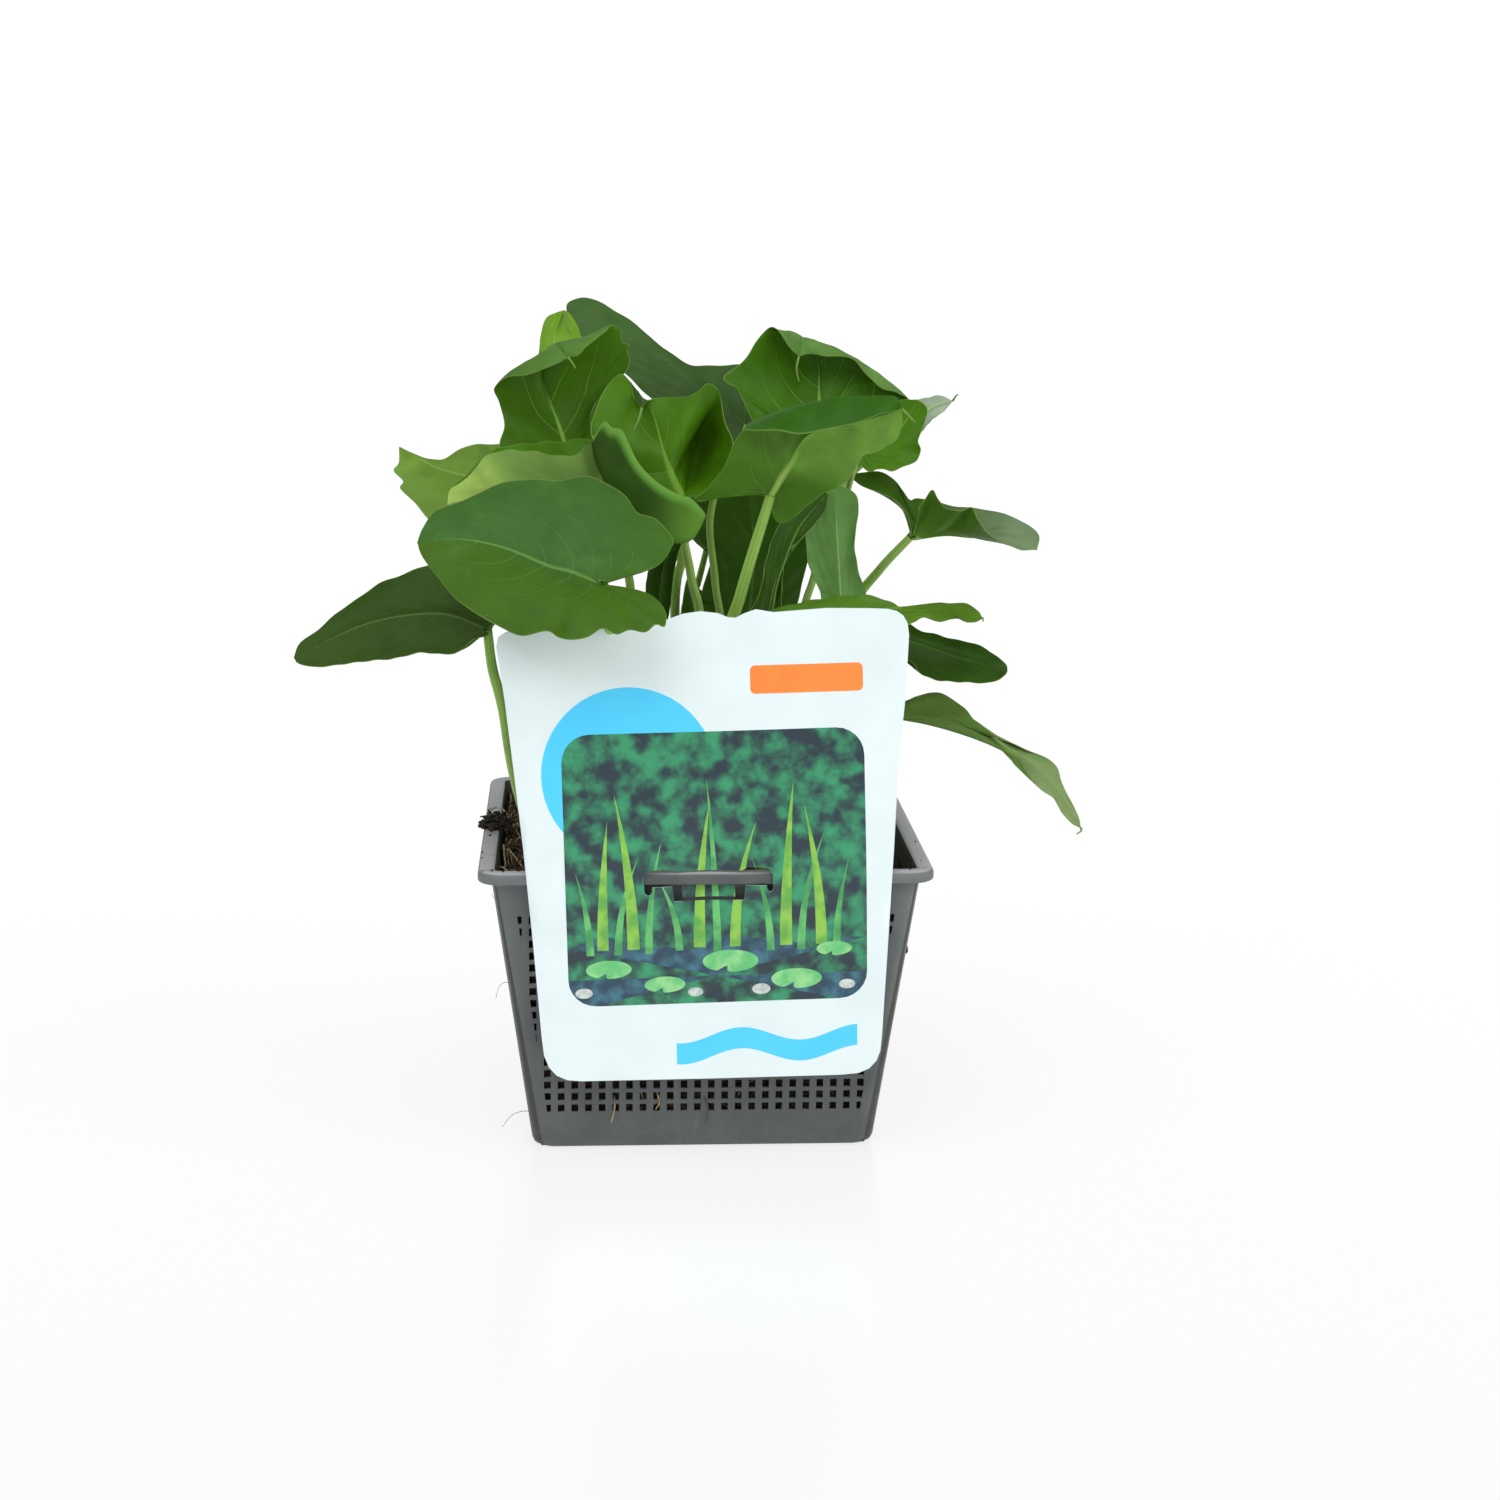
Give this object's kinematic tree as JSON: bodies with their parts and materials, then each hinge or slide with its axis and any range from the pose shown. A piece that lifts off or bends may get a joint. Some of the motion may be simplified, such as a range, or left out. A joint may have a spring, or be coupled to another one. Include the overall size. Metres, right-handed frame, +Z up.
{
  "type": "potted calla lily",
  "caption": "Leafy calla lily without flowers, growing in soil in a square latticed pond basket, with a plain plant card hooked over the basket's rim.",
  "frame": {"origin": "centre of the basket's flat base", "axes": "+Z up along the plant, -Y towards the side with the card, +X to its right"},
  "size_m": [0.3072, 0.2116, 0.333],
  "materials": {
    "blade": "waxy green leaf with paler veins and margin",
    "stalk": "smooth pale green stalk",
    "basket": "dark grey moulded plastic, slightly dusty",
    "soil": "dark moist peat with fibres",
    "card": "satin printed plastic card"
  },
  "bodies": {
    "root": {"leaf_front_left": "blade", "stalk_front_left": "stalk", "leaf_low_left": "blade", "stalk_low_left": "stalk", "leaf_back_left": "blade", "stalk_back_left": "stalk", "leaf_left_fold": "blade", "stalk_left_fold": "stalk", "leaf_upper_left": "blade", "stalk_upper_left": "stalk", "leaf_young_lobe": "blade", "stalk_young_lobe": "stalk", "leaf_top": "blade", "stalk_top": "stalk", "leaf_centre_funnel": "blade", "stalk_centre_funnel": "stalk", "leaf_top_right": "blade", "stalk_top_right": "stalk", "leaf_front_right": "blade", "stalk_front_right": "stalk", "leaf_right_lobe": "blade", "stalk_right_lobe": "stalk", "leaf_far_right_tip": "blade", "stalk_far_right_tip": "stalk", "leaf_right_spread": "blade", "stalk_right_spread": "stalk", "leaf_right_upright": "blade", "stalk_right_upright": "stalk", "leaf_narrow_upright": "blade", "stalk_narrow_upright": "stalk", "leaf_card_edge": "blade", "stalk_card_edge": "stalk", "leaf_low_right": "blade", "stalk_low_right": "stalk", "leaf_lowest_right": "blade", "stalk_lowest_right": "stalk", "leaf_inner_centre": "blade", "stalk_inner_centre": "stalk", "leaf_inner_left": "blade", "stalk_inner_left": "stalk", "leaf_rear_left": "blade", "stalk_rear_left": "stalk", "leaf_rear_right": "blade", "stalk_rear_right": "stalk", "leaf_rear_low_left": "blade", "stalk_rear_low_left": "stalk", "leaf_rear_low_right": "blade", "stalk_rear_low_right": "stalk", "leaf_rear_upper_left": "blade", "stalk_rear_upper_left": "stalk", "leaf_rear_upper_right": "blade", "stalk_rear_upper_right": "stalk", "basket": "basket", "soil": "soil", "card": "card"}
  },
  "joints": []
}
